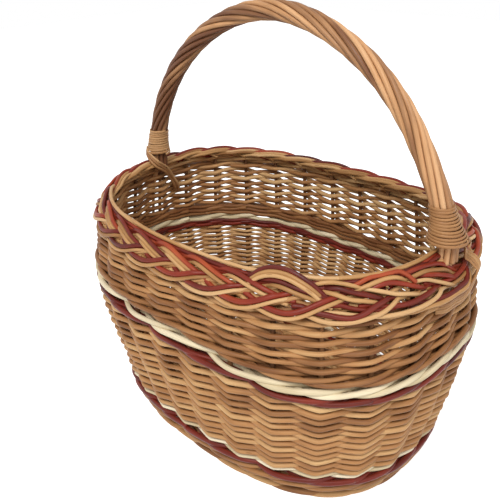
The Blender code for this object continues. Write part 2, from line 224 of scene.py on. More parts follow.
# Strands on top: the places and colours of their rods, and how the rods follow each other
front_over_legs = (13, 21)
front_over_rods = ((-0.6, "red"), (0.45, "buff"), (1.4, "buff"))
back_over_legs = (4, 12)
back_over_rods = ((-0.5, "buff"), (0.5, "buff"))
end_over_rods = ((-0.45, "red"), (0.8, "buff"))
over_rise_place = -1.5
over_rise_stagger = 0.2
over_dive_place = -0.1
over_dive_stagger = 0.12
over_hidden_start = 0.4
over_hidden_end = 0.35
over_knots = ((-2.1, 0.3), (-1.9, 0.02), (-1.7, -0.26), (-1.5, -0.48), (-1.35, -0.56), (-1.2, -0.56),
    (-1, -0.46), (-0.8, -0.29), (-0.6, -0.12), (-0.4, 0.05), (-0.2, 0.22), (0, 0.37), (0.25, 0.52))
over_lift_knots = ((-0.3, -1.2), (-0.02, -1.1), (0.1, 0.2), (0.22, 1), (0.5, 1.05), (0.78, 1),
    (0.9, 0.1), (1, -1), (1.3, -1.3))

# Strands along the outer edge: scallops that hang lower near the right end of the front
edge_rods = ((-0.6, "edge_red"), (0.7, "buff"))
edge_start = -1.9
edge_end = 0.62
edge_lift_stagger = 0.1
droop_shares = {14: 1.2, 15: 1.4, 16: 1.45, 23: 1.08, 24: 1.2}
droop_place = -0.9
droop_length = 0.5
droop_spread_share = 0.2
edge_knots = ((-1.9, 0.5), (-1.6, 0.85), (-1.35, 1.06), (-1.1, 1.16), (-0.85, 1.18), (-0.65, 1.10),
    (-0.5, 0.97), (-0.35, 0.78), (-0.2, 0.57), (0, 0.30), (0.2, 0.03), (0.4, -0.22), (0.7, -0.45))
edge_lift_knots = ((-1.9, -1.2), (-1.45, -1.1), (-1.2, -0.3), (-0.9, 0.2), (-0.55, 0.8), (-0.3, 1.05),
    (-0.1, 0.9), (0.12, -0.9), (0.3, -1.2), (0.7, -1.2))

# Strands along the inner edge at the front: each rod's colour, inset and depth
# The deepest rod is a real rod, but its red stands in for shade in the gaps beside it: painted shade.
inner_rods = (("buff", 0, 0), ("red", 0.0034, 0.75), ("red", 0.0066, 1.6))
inner_drift = (0.0004, 4)
inner_knots = ((-1.9, -0.5), (-1.6, -0.85), (-1.3, -1.04), (-1, -1.1), (0, -1.1), (1, -1.08),
    (1.6, -1.04), (1.9, -0.9), (2.2, -0.6))
inner_lift_knots = ((-1.9, -1.3), (-1.6, -1), (-1.3, -0.2), (-1, 0.1), (1.3, 0), (1.7, -0.8),
    (2.2, -1.3))

# Strands over the inner edge at the back
back_legs = (1, 15)
back_rods = ("red", "buff", "buff")
back_rod_inset = 0.0004
back_rod_drop = 1.45
back_tuck_start = 0.3
back_tuck_share = 0.75
back_knots = ((-1.2, -0.3), (-0.9, -0.66), (-0.6, -0.87), (-0.2, -0.95), (0.2, -0.94), (0.5, -0.83),
    (0.9, -0.4))
back_lift_knots = ((-1.2, -0.6), (-0.9, 0.6), (-0.6, 0.95), (-0.2, 0.4), (0.2, -0.8), (0.5, -1.4),
    (0.9, -2.1))

# The strand that loops over the inner edge: each rod's place, colour and later start
loop_leg_number = 24
loop_rods = ((-0.55, "red", 0), (0.5, "buff", 0), (1.45, "buff", 0.25))
loop_end = -0.02
loop_knots = ((-2.1, 0.1), (-1.95, -0.2), (-1.77, -0.62), (-1.62, -1.0), (-1.45, -1.24), (-1.2, -1.34),
    (-0.93, -1.22), (-0.65, -0.88), (-0.41, -0.46), (-0.2, 0.05), (0, 0.4))
loop_lift_knots = ((-2.1, -1.2), (-1.95, -0.9), (-1.75, 0.8), (-1.5, 1.7), (-1.2, 2.2), (-0.6, 2.1),
    (-0.35, 1.3), (-0.12, -0.8), (0, -1.2))

# The right end, where the plait is drawn out: each rod's kind, colour and places across the
# plait at places round the border, counted in spaces between stakes
right_end_leg = 25
traced_overrun = 0.2
traced_lift_knots = {
    "over": over_lift_knots,
    "edge": ((-0.3, -1.2), (0, -1.1), (0.2, -0.3), (0.35, 0.2), (0.6, 0.8), (0.8, 1.05), (0.93, 0.7),
             (1.03, -0.7), (1.2, -1.3)),
    "ended": ((-0.3, -1.2), (0, -0.6), (0.15, 0.8), (0.5, 1.1), (0.8, 1.7), (1, 1.9)),
    "low": ((0, -0.5), (1, -0.5)),
}
right_end_rods = (
    ("over", "red", ((24.85, -0.5), (25.1, -0.42), (25.35, -0.17), (25.7, 0.17), (26, 0.5))),
    ("over", "buff", ((24.5, -0.55), (24.7, -0.75), (24.95, -0.83), (25.15, -0.75), (25.4, -0.55),
        (25.65, -0.3))),
    ("over", "buff", ((24.8, -0.3), (25.05, -0.06), (25.3, 0.26), (25.6, 0.46), (25.9, 0.67))),
    ("low", "red", ((25.15, 0.58), (25.4, 0.83), (25.7, 1.04), (26, 1.15))),
    ("low", "buff", ((24.95, 1), (25.2, 1.1), (25.45, 1.25), (25.8, 1.3))),
    ("edge", "edge_red", ((24.4, 0.7), (24.65, 0.98), (24.9, 1.17), (25.1, 1.33), (25.35, 1.42),
        (25.55, 1.25), (25.75, 0.92), (26.1, 0.5))),
    ("edge", "buff", ((24.5, 1.2), (24.75, 1.5), (25.05, 1.67), (25.35, 1.67), (25.6, 1.54),
        (25.95, 1.25), (26.15, 0.92), (26.3, 0.67))),
    ("ended", "red", ((25.35, -0.5), (25.55, -0.71), (25.75, -0.92), (26, -0.96), (26.25, -0.96),
        (26.5, -0.83), (26.62, -0.5), (26.75, 0.08))),
    ("over", "buff", ((25.45, -0.25), (25.65, -0.42), (25.9, -0.6), (26.2, -0.67), (26.45, -0.5),
        (26.65, -0.17))),
    ("over", "red", ((25.75, -0.2), (25.95, -0.36), (26.2, -0.37), (26.45, -0.12), (26.7, 0.25),
        (27, 0.63))),
    ("over", "buff", ((25.6, -0.35), (25.75, -0.2), (26, 0.08), (26.25, 0.38), (26.55, 0.63),
        (26.85, 0.92))),
    ("edge", "edge_red", ((25.7, 0.7), (25.95, 0.95), (26.2, 1.08), (26.5, 1.17), (26.8, 1.1),
        (27.05, 1), (27.25, 0.92))),
    ("edge", "buff", ((25.6, 1.3), (25.85, 1.5), (26.1, 1.58), (26.45, 1.63), (26.8, 1.6), (27.1, 1.5),
        (27.4, 1.25))),
    ("over", "red", ((26.45, -0.55), (26.6, -0.63), (26.95, -0.67), (27.25, -0.58), (27.6, -0.33),
        (27.9, 0.17), (28.15, 0.79))),
    ("over", "buff", ((26.55, -0.3), (26.7, -0.3), (27.15, -0.29), (27.5, 0), (27.85, 0.46),
        (28.05, 0.92))),
    ("over", "red", ((27, -0.2), (27.15, -0.04), (27.45, 0.29), (27.75, 0.75), (28, 1.2))),
    ("over", "buff", ((26.6, -0.1), (26.75, 0), (27.1, 0.25), (27.35, 0.67), (27.6, 1.13),
        (27.9, 1.54))),
    ("edge", "edge_red", ((26.7, 1.3), (26.95, 1.54), (27.2, 1.63), (27.45, 1.75), (27.9, 1.75),
        (28.25, 1.63), (28.45, 1.1), (28.6, 0.6))),
    ("edge", "buff", ((26.3, 1.6), (26.55, 1.75), (26.9, 1.8), (27.2, 1.95), (27.7, 2), (28.2, 1.95),
        (28.45, 1.5), (28.65, 0.9))),
)

# The handle
handle_half_span = 0.1695
handle_foot_height = 0.243
handle_rise = 0.162
handle_squareness = 1.857
handle_rod_count = 9
handle_rod_radius = 0.00225
handle_ring_radius = 0.0069
handle_core_radius = 0.0045
handle_twist = math.radians(-936)
handle_twist_ease_share = 0.84
handle_splay_right = 0.0103
handle_splay_left = 0.002
handle_splay_height = 0.075
handle_splay_power = 1.5
handle_points = 260
handle_fine_points = 4001
handle_foot_length = 0.016
handle_foot_points = 10
handle_ring_swell = (0.02, 12)
handle_rod_swell = (0.04, 8)
handle_tones = (-0.2, 0.8)
# Painted shade: the handle's rods darken towards the left foot, where the handle faces away from the
# light.
handle_painted_shade = 0.75
handle_painted_shade_until_share = 0.85
handle_painted_shade_length_share = 0.65
handle_painted_shade_power = 2.4

# The feet of the handle's core, inside the wall: share, heights and offsets
core_left_foot = (0.5, (0.162, 0.2), (0.003, 0.0035))
core_right_foot = (0, (0.197, 0.162), (0, stake_radius))
core_end_radii = (0.0016, 0.0022)

# The bindings, of split willow in flat skeins: side of the basket, turns, pitch and flare
skein_half_width = 0.00135
skein_half_thickness = 0.0007
binding_start_height = 0.2448
binding_points_per_turn = 40
binding_wobble = 0.0002
binding_wobbles_per_turn = 3
binding_sway = 0.0003
binding_sways_per_turn = 4
right_binding = (1, 12.5, 0.00232, 0.0072)
left_binding = (-1, 10, 0.00265, 0.0028)

# The lashings run over three kinds of stops: places from the handle's foot with the direction
# that they face there, border stops as share, place outwards and lift, and wall stops as share,
# height and offset
lashing_points = 110
lashing_spacing = 0.0026
lashing_tilt_share = 0.6
lashing_radius_share = 0.52
lashing_flat_share = 0.6
lashing_drift = (0.0004, 5)
lashing_step = 0.0003
right_skeins = 4
right_foot_stops = (((0.0125, 0.004, 0.0016), (0.9, 0.3, 0.3)),)
right_border_stops = ((0.014, 0.001, 0.0088), (0.017, 0.0085, 0.0102), (0.019, 0.016, 0.0094),
    (0.0165, 0.0218, 0.005))
right_wall_stops = ((0.0135, 0.203, 0.0138), (0.0065, 0.197, 0.0112), (-0.004, 0.1965, 0.0094),
    (-0.0125, 0.195, 0.0078), (-0.0195, 0.1935, 0.002))
left_skeins = 3
left_foot_stops = (
    ((-0.0092, -0.0082, 0.004), (-0.8, -0.7, 0.1)),
    ((-0.005, -0.012, 0.001), (-0.3, -0.9, 0.1)),
    ((0.003, -0.0128, -0.0045), (0.4, -0.9, 0.2)),
    ((0.0088, -0.009, -0.011), (0.7, -0.6, 0.2)),
)
left_wall_stops = ((0.4965, 0.2245, -0.015), (0.485, 0.2115, -0.0108), (0.4765, 0.199, -0.0092),
    (0.4715, 0.19, -0.005))

# The base
base_clearance = 0.0008
base_rings = 20
base_middle_gap = 0.004
base_crossings = 44
base_points_per_crossing = 6
base_turn_spread = 6
base_height = 0.0057
base_wave = 0.0031
base_sway = 0.0016
base_rod_radius = 0.0024
base_uneven_share = 0.06
stick_end_gap = 0.002
stick_points = 12
cross_stick_count = 3
cross_stick_spacing = 0.07
cross_stick_radius = 0.0038
long_stick_count = 2
long_stick_spacing = 0.0048
long_stick_radius = 0.0026


# Curves and directions


def random_source(seed):
    return np.random.default_rng(seed)


def signed_power(value, power):
    return np.sign(value) * np.abs(value) ** power


def unit(vectors):
    return vectors / np.linalg.norm(vectors, axis=-1, keepdims=True)


def run_along(points):
    """The length of a line up to each of its points."""
    return np.concatenate([[0], np.cumsum(np.linalg.norm(np.diff(points, axis=0), axis=1))])


def numbered(name, count):
    """Names with the numbers from 1 to count in them."""
    return [name % (index + 1) for index in range(count)]


def smooth_curve(x, y, slopes, place):
    """A smooth value at each place, through the values y at x, with given slopes there."""
    place = np.clip(place, x[0], x[-1])
    index = np.clip(np.searchsorted(x, place) - 1, 0, len(x) - 2)
    step = x[index + 1] - x[index]
    t = (place - x[index]) / step
    start = (2 * t ** 3 - 3 * t ** 2 + 1) * y[index]
    leave = (t ** 3 - 2 * t ** 2 + t) * step * slopes[index]
    end = (3 * t ** 2 - 2 * t ** 3) * y[index + 1]
    arrive = (t ** 3 - t ** 2) * step * slopes[index + 1]
    return start + leave + end + arrive


def through_knots(knots, place):
    """A smooth value at places along a rod, through its knots."""
    knots = np.array(knots, float)
    x, y = knots[:, 0], knots[:, 1]
    return smooth_curve(x, y, np.gradient(y, x), place)


def through_inner(values, count):
    """A smooth curve in even steps through all values but the first and the last."""
    place = np.linspace(1, len(values) - 2 - knot_end_gap, count)
    index = place.astype(int)
    t = (place - index).reshape(-1, *(1,) * (values.ndim - 1))
    p0, p1, p2, p3 = (values[index + step] for step in (-1, 0, 1, 2))
    return 0.5 * (2 * p1 + (p2 - p0) * t + (2 * p0 - 5 * p1 + 4 * p2 - p3) * t ** 2
                  + (3 * p1 - p0 - 3 * p2 + p3) * t ** 3)


def through_points(points, count):
    """A smooth curve through given points, with even steps between them."""
    before = 2 * points[0] - points[1]
    after = 2 * points[-1] - points[-2]
    return through_inner(np.concatenate([[before], points, [after]]), count)


def wander(count, size, bends, random):
    """A smooth random curve of count values, between about minus and plus its size."""
    return size * through_inner(random.uniform(-1, 1, bends + 3), count)


def swelling(count, random):
    """How a rod swells and thins along its length."""
    return 1 + wander(count, *rod_swell, random)


def about_one(spread_share, random):
    """A factor near one, for rods that aren't all of a size."""
    return random.uniform(1 - spread_share, 1 + spread_share)


# The shape of the wall


def oval(angle, half_length, half_width):
    """Points of the oval in plan."""
    power = 2 / squareness
    x = half_length * signed_power(np.cos(angle), power)
    y = half_width * signed_power(np.sin(angle), power)
    return np.stack([x, y, np.zeros_like(x)], axis=-1)


def share_tables():
    """Angles round the oval, and the share of the way round that each one lies at."""
    angles = np.linspace(0, 2 * math.pi, outline_steps + 1)
    run = run_along(oval(angles, max(level_half_lengths), max(level_half_widths)))
    return angles, run / run[-1]


angle_table, share_table = share_tables()


def angle_at(share):
    return np.interp(np.asarray(share, float) % 1, share_table, angle_table)


def through_levels(height, sizes):
    """A smooth size at each height, through the sizes at the four heights of the wall."""
    heights = np.array(level_heights, float)
    sizes = np.array(sizes, float)
    index = np.arange(len(heights))
    before = np.maximum(index - 1, 0)
    after = np.minimum(index + 1, len(heights) - 1)
    slopes = (sizes[after] - sizes[before]) / (heights[after] - heights[before])
    return smooth_curve(heights, sizes, slopes, height)


def outward(angle, half_length, half_width):
    """The oval's horizontal normals."""
    nudge = 4 * math.pi / outline_steps
    along = oval(angle + nudge, half_length, half_width) - oval(angle - nudge, half_length, half_width)
    return unit(np.stack([along[..., 1], -along[..., 0], np.zeros_like(along[..., 0])], axis=-1))


def wall(share, height, offset):
    """Points of the wall and its outward directions, offset from the middle of the stakes.

    The wall is tucked in a little low down at the left of the front.
    """
    share, height, offset = np.broadcast_arrays(share, height, offset)
    angle = angle_at(share)
    half_length = through_levels(height, level_half_lengths)
    half_width = through_levels(height, level_half_widths)
    away = outward(angle, half_length, half_width)
    tuck = left_tuck * np.exp(-((height - left_tuck_height) / left_tuck_reach) ** 2)
    tuck = tuck * np.clip(np.cos(angle - left_tuck_angle), 0, 1) ** 2
    points = oval(angle, half_length, half_width) + away * (offset - tuck)[..., None]
    points[..., 2] = height
    return points, away


def low_line(share):
    """The height of the seam between the lower red and cream wales."""
    angle = angle_at(share)
    return low_band_height + low_band_rise_right * np.cos(angle) + low_band_rise_back * np.sin(angle)


def cream_low_top(share):
    return low_line(share) + cream_low_height + cream_low_above


def high_line(share):
    """The height of the seam between the upper red and cream wales."""
    angle = angle_at(share)
    tilt = high_band_rise_right * np.cos(angle) + high_band_rise_back * np.sin(angle)
    ripple = high_band_twist * np.sin(2 * angle) + high_band_ripple * np.cos(3 * angle)
    away_share = (share % 1 - high_band_dip_share) / high_band_dip_width_share
    return high_band_height + tilt + ripple - high_band_dip * np.exp(-away_share ** 2)


def saddle(share):
    """How the rim rises at its two ends and sinks between them."""
    return rim_saddle * np.cos(2 * angle_at(share))


# Rods


class Rods:
    """Rods gathered into one mesh, each with its own tone and grain; shade makes all darker."""

    def __init__(self, name, seed, shade=0):
        self.name = name
        self.shade = shade
        self.random = random_source(seed)
        self.places = []
        self.faces = []
        self.grain = []
        self.tone = []
        self.count = 0

    def add(self, points, radius, reference, sides=rod_sides, flat=1, tone=None):
        """One rod through points; reference gives the side that its cross-section faces."""
        points = np.asarray(points, float)
        number = len(points)
        radius = np.broadcast_to(np.asarray(radius, float), (number,))
        along = unit(np.gradient(points, axis=0))
        normal = unit(reference - (reference * along).sum(1, keepdims=True) * along)
        side = np.cross(along, normal)
        turn = np.linspace(0, 2 * math.pi, sides, endpoint=False)
        out = (np.cos(turn)[None, :, None] * flat * normal[:, None, :]
               + np.sin(turn)[None, :, None] * side[:, None, :])
        ring = points[:, None, :] + radius[:, None, None] * out
        first = points[0] - along[0] * radius[0] * end_cap_share
        last = points[-1] + along[-1] * radius[-1] * end_cap_share
        self.places += [ring.reshape(-1, 3), first[None], last[None]]
        self.add_grain(run_along(points), radius, turn)
        value = self.random.uniform(0, 1) - self.shade if tone is None else tone
        tones = np.broadcast_to(np.asarray(value, float), (number,))
        self.tone.append(np.concatenate([np.repeat(tones, sides), tones[[0, -1]]]))
        self.add_faces(number, sides)

    def add_grain(self, run, radius, turn):
        """Places in the wood: along the rod, from a random start, and across it."""
        shift = self.random.uniform(0, grain_spread)
        grain = np.empty((len(run), len(turn), 3))
        grain[..., 0] = (run + shift)[:, None]
        grain[..., 1] = radius[:, None] * np.cos(turn)
        grain[..., 2] = radius[:, None] * np.sin(turn)
        self.grain += [grain.reshape(-1, 3), [[shift, 0, 0]], [[run[-1] + shift, 0, 0]]]

    def add_faces(self, number, sides):
        """The faces between a rod's rings, and those of its two pointed ends."""
        row = self.count + np.arange(number - 1)[:, None] * sides
        column = np.arange(sides)[None, :]
        following = (column + 1) % sides
        corners = (row + column, row + following, row + sides + following, row + sides + column)
        self.faces += [tuple(face) for face in np.stack(corners, -1).reshape(-1, 4).tolist()]
        start = self.count + number * sides
        end = start + 1
        rim = start - sides
        for corner in range(sides):
            after = (corner + 1) % sides
            self.faces.append((start, self.count + after, self.count + corner))
            self.faces.append((end, rim + corner, rim + after))
        self.count += number * sides + 2

    def build(self, finish, slot, *nodes):
        """The piece, which stands for the solids that are named."""
        mesh = bpy.data.meshes.new(self.name)
        places = np.concatenate(self.places)
        mesh.from_pydata(places.tolist(), [], self.faces)
        grain = mesh.attributes.new("grain", "FLOAT_VECTOR", "POINT")
        grain.data.foreach_set("vector", np.concatenate(self.grain).astype(np.float32).ravel())
        tone = mesh.attributes.new("tone", "FLOAT", "POINT")
        tone.data.foreach_set("value", np.concatenate(self.tone).astype(np.float32))
        mesh.shade_smooth()
        made = bpy.data.objects.new(self.name, mesh)
        bpy.context.scene.collection.objects.link(made)
        made.data.materials.append(finish)
        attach(made, "root")
        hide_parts(*nodes)


# Materials


def node(tree, kind, **values):
    made = tree.nodes.new(kind)
    for key, value in values.items():
        setattr(made, key, value)
    return made


def maths(tree, operation, first, second, third=None):
    made = node(tree, "ShaderNodeMath", operation=operation)
    for socket, value in zip(made.inputs, (first, second, third)):
        if value is None:
            continue
        if isinstance(value, bpy.types.NodeSocket):
            tree.links.new(value, socket)
        else:
            socket.default_value = value
    return made.outputs[0]


def centred(tree, value):
    """A value between 0 and 1, moved to lie round zero."""
    return maths(tree, "SUBTRACT", value, middle_tone)


def stretched(tree, grain, stretch):
    made = node(tree, "ShaderNodeVectorMath", operation="MULTIPLY")
    tree.links.new(grain, made.inputs[0])
    made.inputs[1].default_value = stretch
    return made.outputs[0]


def noise(tree, grain, stretch, detail):
    made = node(tree, "ShaderNodeTexNoise")
    made.inputs["Scale"].default_value = 1
    made.inputs["Detail"].default_value = detail
    tree.links.new(stretched(tree, grain, stretch), made.inputs["Vector"])
    return made.outputs["Fac"]


def ramp_colour(tree, value, colours):
    """A colour between the darkest and the lightest rods."""
    ramp = node(tree, "ShaderNodeValToRGB")
    tree.links.new(value, ramp.inputs[0])
    while len(ramp.color_ramp.elements) < len(colours):
        ramp.color_ramp.elements.new(middle_tone)
    for index, (place, colour) in enumerate(colours):
        ramp.color_ramp.elements[index].position = place
        ramp.color_ramp.elements[index].color = (*colour, 1)
    return ramp.outputs["Color"]


def scarred(tree, grain, colour, scar):
    """The colour with small dark leaf scars along the rod."""
    scars = node(tree, "ShaderNodeTexVoronoi")
    scars.inputs["Scale"].default_value = 1
    tree.links.new(stretched(tree, grain, scar_stretch), scars.inputs["Vector"])
    spot = maths(tree, "LESS_THAN", scars.outputs["Distance"], scar_reach)
    mix = node(tree, "ShaderNodeMix", data_type="RGBA", blend_type="MULTIPLY")
    tree.links.new(maths(tree, "MULTIPLY", spot, scar), mix.inputs["Factor"])
    tree.links.new(colour, mix.inputs["A"])
    mix.inputs["B"].default_value = scar_tint
    return mix.outputs["Result"]


def willow(name, colours, roughness=0.5, streak=0.35, scar=0.5):
    """Willow: a ramp of colours, streaked along the rod, patchy, with dark leaf scars."""
    finish = bpy.data.materials.new(name)
    finish.use_nodes = True
    tree = finish.node_tree
    shader = tree.nodes["Principled BSDF"]
    shader.inputs["Specular IOR Level"].default_value = willow_gloss
    grain = node(tree, "ShaderNodeAttribute", attribute_name="grain").outputs["Vector"]
    tone = node(tree, "ShaderNodeAttribute", attribute_name="tone").outputs["Fac"]
    streaks = noise(tree, grain, *streak_noise)
    patches = noise(tree, grain, *patch_noise)
    value = maths(tree, "MULTIPLY_ADD", centred(tree, tone), tone_share, middle_tone)
    value = maths(tree, "MULTIPLY_ADD", centred(tree, streaks), streak, value)
    value = maths(tree, "MULTIPLY_ADD", centred(tree, patches), patch_share, value)
    colour = scarred(tree, grain, ramp_colour(tree, value, colours), scar)
    tree.links.new(colour, shader.inputs["Base Color"])
    rough = maths(tree, "MULTIPLY_ADD", centred(tree, streaks), roughness_spread, roughness)
    tree.links.new(rough, shader.inputs["Roughness"])
    bump = node(tree, "ShaderNodeBump")
    bump.inputs["Strength"].default_value = bump_strength
    bump.inputs["Distance"].default_value = bump_depth
    tree.links.new(streaks, bump.inputs["Height"])
    tree.links.new(bump.outputs["Normal"], shader.inputs["Normal"])
    return finish


def make_finishes():
    """Each willow with its ramp: tones, and the colour at each tone."""
    buff = ((0.1, (0.16, 0.058, 0.018)), (0.5, (0.41, 0.20, 0.075)), (0.9, (0.66, 0.43, 0.20)))
    red = ((0.15, (0.075, 0.010, 0.007)), (0.5, (0.225, 0.027, 0.012)), (0.85, (0.43, 0.09, 0.028)))
    cream = ((0.15, (0.45, 0.35, 0.19)), (0.5, (0.74, 0.63, 0.43)), (0.85, (0.88, 0.80, 0.64)))
    handle = ((0.1, (0.15, 0.06, 0.027)), (0.5, (0.52, 0.275, 0.125)), (0.85, (0.70, 0.44, 0.24)))
    split = ((0.15, (0.25, 0.11, 0.042)), (0.5, (0.40, 0.205, 0.083)), (0.85, (0.56, 0.35, 0.17)))
    stake = ((0.15, (0.08, 0.033, 0.014)), (0.5, (0.16, 0.07, 0.028)), (0.85, (0.28, 0.14, 0.06)))
    border = ((0.15, (0.22, 0.09, 0.025)), (0.5, (0.47, 0.255, 0.10)), (0.85, (0.62, 0.40, 0.20)))
    return {
        "buff": willow("buff_willow", buff),
        "border": willow("border_willow", border, roughness=0.42),
        "red": willow("red_willow", red, roughness=0.4, scar=0.25),
        "cream": willow("cream_willow", cream, streak=0.3, scar=0.2),
        "handle": willow("handle_willow", handle, roughness=0.42, scar=0.25),
        "split": willow("split_willow", split, roughness=0.42, scar=0),
        "stake": willow("stake_willow", stake),
    }


# The weave of the wall


def stake_place(share):
    """Whole numbers at the stakes."""
    return share * stake_count - first_stake_share


def ring_shares(start):
    """Shares for a rod that goes once round from a start, and one space more."""
    steps = (stake_count + 1) * points_per_space
    return start + np.linspace(0, 1 + 1 / stake_count, steps + 1)


def soft_triangle(phase):
    """A wave that runs straight between the stakes and turns softly at them."""
    return np.arcsin(weave_sharpness * np.cos(phase)) / math.asin(weave_sharpness)


def rod_shares(rod, span, random):
    """Shares for a rod of a pair, once round or over a span of stakes with its ends inside."""
    if span is None:
        start = random.integers(0, stake_count // 2) * 2 + 1 - rod
        return ring_shares((start + first_stake_share) / stake_count)
    start, end = (stake + (stake + rod + 1) % 2 for stake in span)
    steps = (end - start) * points_per_space
    return (np.linspace(start, end, steps + 1) + first_stake_share) / stake_count


def pairing(rods, base, top, courses, radius, slant, sag, span=None, drift=pair_drift,
            reach=pair_reach_share, lean=0, outer_rise=0, uneven=pair_uneven_share, back_painted_light=0):
    """Courses of two rods that cross between the stakes, one outside and one inside.

    Outer rise is how far each rod climbs outside the wall and sinks inside it. The last
    courses lean the other way. Back painted light makes the rods lighter along the back:
    painted light, where the inside of the back wall is lit.
    """
    random = rods.random
    for course in range(courses):
        tilt = lean * max(0, 1 - (courses - 1 - course) / leaning_courses)
        for rod in (0, 1):
            share = rod_shares(rod, span, random)
            count = len(share)
            phase = math.pi * (stake_place(share) + rod)
            out = soft_triangle(phase)
            pitch = (top(share) - base(share)) / courses
            middle = base(share) + (course + 0.5) * pitch
            rise = slant * pitch / 4 * np.sin(phase) - sag * (np.abs(out) - 0.5)
            thick = radius * swelling(count, random) * about_one(uneven, random)
            shift = wander(count, drift, stake_count, random)
            thinning = 1 - pair_thinning_share * (1 - np.abs(out)) ** 2
            height = middle + rise + shift + (outer_rise - tilt) * out
            points, away = wall(share, height, (stake_radius + thick) * reach * out)
            # Painted light: rods lighter along the back, where the inside of the back wall is lit.
            lighter = back_painted_light * np.clip(np.sin(2 * math.pi * share), 0, 1)
            tone = random.uniform(0, 1) - rods.shade + lighter
            rods.add(points, thick * thinning, away, weave_rod_sides, tone=tone)


def backing_rod(rods, middle, radius):
    """A rod that runs round behind the stakes."""
    random = rods.random
    share = ring_shares(random.uniform(0, 1))
    count = len(share)
    thick = radius * backing_radius_share * swelling(count, random)
    sway = backing_sway * np.cos(2 * math.pi * stake_place(share))
    sway = sway + wander(count, backing_drift, stake_count, random)
    offset = -(stake_radius + thick * backing_depth_share) + sway
    points, away = wall(share, middle(share) + sway, offset)
    rods.add(points, thick, away, weave_rod_sides)


def waling(rods, middle, radius, half_rise, backing=(), bulge=1):
    """Three rods, each outside two stakes and inside the next, that rise along each stroke.

    Backing gives the heights of further rods, over or under the middle.
    """
    random = rods.random
    for above in backing:
        backing_rod(rods, lambda share: middle(share) + above, radius)
    for rod in range(wale_rods):
        start = random.integers(0, stake_count // wale_rods) * wale_rods - rod
        share = ring_shares((start + first_stake_share) / stake_count)
        count = len(share)
        turn = 2 * math.pi * (stake_place(share) + rod) / wale_rods
        out = wale_mean_share - wale_swing_share * np.cos(turn) - wale_dwell_share * np.cos(2 * turn)
        thick = radius * swelling(count, random) * about_one(wale_uneven_share, random)
        shift = wander(count, wale_drift, stake_count, random)
        height = middle(share) - half_rise * np.sin(turn) + shift
        points, away = wall(share, height, (stake_radius + thick * bulge) * out)
        rods.add(points, thick, away, weave_rod_sides)


def make_stakes(finish):
    rods = Rods("stake_rods", seed=11)
    taper = np.linspace(*stake_taper_shares, stake_points)
    for index in range(stake_count):
        share = (index + first_stake_share) / stake_count
        top = plait_height + saddle(share) - stake_top_gap
        points, away = wall(share, np.linspace(stake_foot_height, top, stake_points), 0)
        rods.add(points, stake_radius * taper, away)
    rods.build(finish["stake"], "stake_willow", *numbered("stake_%02d", stake_count))


def make_upsett(finish):
    """The two thick wales at the foot of the wall."""
    rods = Rods("upsett_rods", seed=12)
    waling(rods, lambda share: np.full_like(share, upsett_height), *upsett_wale,
           bulge=upsett_bulge_share)
    waling(rods, lambda share: (low_line(share) - red_low_height) * upsett_top_share,
           *upsett_top_wale)
    rods.build(finish["buff"], "buff_willow", "upsett_wale")


def make_lower_band(finish):
    red = Rods("lower_red_rods", seed=13, shade=red_band_shade)
    waling(red, lambda share: low_line(share) - red_low_height / 2, *red_low_wale)
    red.build(finish["red"], "red_willow", "lower_red_wale")
    cream = Rods("lower_cream_rods", seed=14)
    pairing(cream, lambda share: low_line(share) - cream_low_below, cream_low_top, 1,
            *cream_low_pair)
    cream.build(finish["cream"], "cream_willow", "lower_cream_wale")


def make_lower_siding(finish):
    """Tight courses along the front and round the ends, and finer ones along the back."""
    rods = Rods("lower_siding_rods", seed=15)
    first_stake, last_stake = back_weave_stakes
    front_span = (last_stake, first_stake + stake_count)
    for courses, pair, span in ((lower_courses, lower_pair, front_span),
                                (lower_back_courses, lower_back_pair, back_weave_stakes)):
        pairing(rods, cream_low_top, lambda share: high_line(share) - red_high_height, courses,
                *pair, span=span)
    rods.build(finish["buff"], "buff_willow", "lower_siding")


def make_upper_band(finish):
    red = Rods("upper_red_rods", seed=16, shade=red_band_shade)
    waling(red, lambda share: high_line(share) - red_high_height / 2, *red_high_wale)
    red.build(finish["red"], "red_willow", "upper_red_wale")
    cream = Rods("upper_cream_rods", seed=17)
    waling(cream, lambda share: high_line(share) + cream_high_height / 2 - cream_high_drop,
           *cream_high_wale)
    cream.build(finish["cream"], "cream_willow", "upper_cream_wale")


def make_upper_siding(finish):
    """A buff wale, and over it loose courses that light shows through."""
    # Its rods are darkened as painted shade under the border's overhang.
    rods = Rods("upper_siding_rods", seed=18, shade=upper_siding_painted_shade)
    waling(rods, lambda share: high_line(share) + cream_high_height + buff_high_height / 2,
           *buff_high_wale)
    pairing(rods, lambda share: high_line(share) + cream_high_height + buff_high_height,
            lambda share: siding_top_height + saddle(share), upper_courses, *upper_pair,
            drift=upper_drift, reach=upper_reach_share, lean=siding_top_lean,
            outer_rise=upper_outer_rise, uneven=upper_uneven_share, back_painted_light=upper_back_painted_light)
    rods.build(finish["buff"], "buff_willow", "upper_siding")


# The border


def plait_directions(angle):
    """Across the plait, outwards and down, and the direction up from its face."""
    away = outward(angle, plait_half_length, plait_half_width)
    across = away * math.cos(plait_slope) - upwards * math.sin(plait_slope)
    above = away * math.sin(plait_slope) + upwards * math.cos(plait_slope)
    return across, above


def dive_place(leg):
    """Where a strand dives under the next ones; at the right end the plait is drawn out."""
    return leg + dive_share + drawn_out_spaces.get(leg, 0)


def border_height(share):
    """The height of the border's middle; it swells by the handle's right foot, at the back."""
    swell = np.exp(-((share * stake_count - swell_place) / swell_length) ** 2)
    return plait_height + saddle(share) + swell_rise * swell


def border_place(share, lateral, lift):
    """Places on the plait, moved outwards and lifted, and the direction up from it there."""
    angle = angle_at(share)
    across, above = plait_directions(angle)
    points = oval(angle, plait_half_length, plait_half_width)
    points[:, 2] = border_height(share % 1)
    return points + across * lateral[:, None] + above * lift[:, None], above


